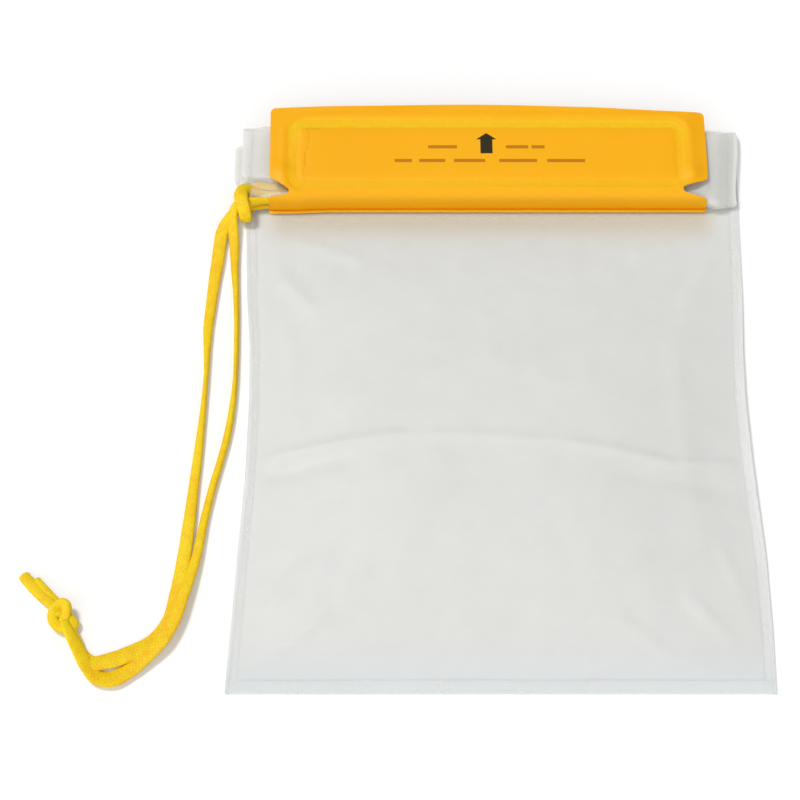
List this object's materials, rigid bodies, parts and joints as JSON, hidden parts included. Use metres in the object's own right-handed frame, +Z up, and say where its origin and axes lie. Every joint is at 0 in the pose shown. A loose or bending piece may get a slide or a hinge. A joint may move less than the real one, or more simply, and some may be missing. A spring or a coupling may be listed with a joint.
{
  "type": "waterproof pouch",
  "caption": "Flat clear film pouch with a rolled zip mouth, a yellow hook-and-loop closure flap and a doubled yellow wrist cord.",
  "frame": {"origin": "on the surface that the pouch lies on, under the middle of its outline without the cord", "axes": "+X to the pouch's right seen from the front, +Y from the hem to the closure, +Z up off the surface"},
  "size_m": [0.2092, 0.1968, 0.0115],
  "materials": {
    "clear_film": "frosted clear vinyl film",
    "zip_plastic": "milky extruded plastic",
    "closure_tape": "nylon hook and loop",
    "yellow_vinyl": "satin opaque vinyl",
    "yellow_braid": "flat braided polypropylene"
  },
  "bodies": {
    "root": {"back_sheet": "clear_film", "front_sheet": "clear_film", "zip_rib_lower": "zip_plastic", "zip_groove_lower": "zip_plastic", "zip_rib_upper": "zip_plastic", "zip_groove_upper": "zip_plastic", "loop_tape": "closure_tape", "hook_tape": "closure_tape", "closure_flap": "yellow_vinyl", "cord_hitch": "yellow_braid", "cord_strand_left": "yellow_braid", "cord_strand_right": "yellow_braid", "stopper_knot": "yellow_braid", "cord_tail_long": "yellow_braid", "cord_tail_short": "yellow_braid"}
  },
  "joints": []
}
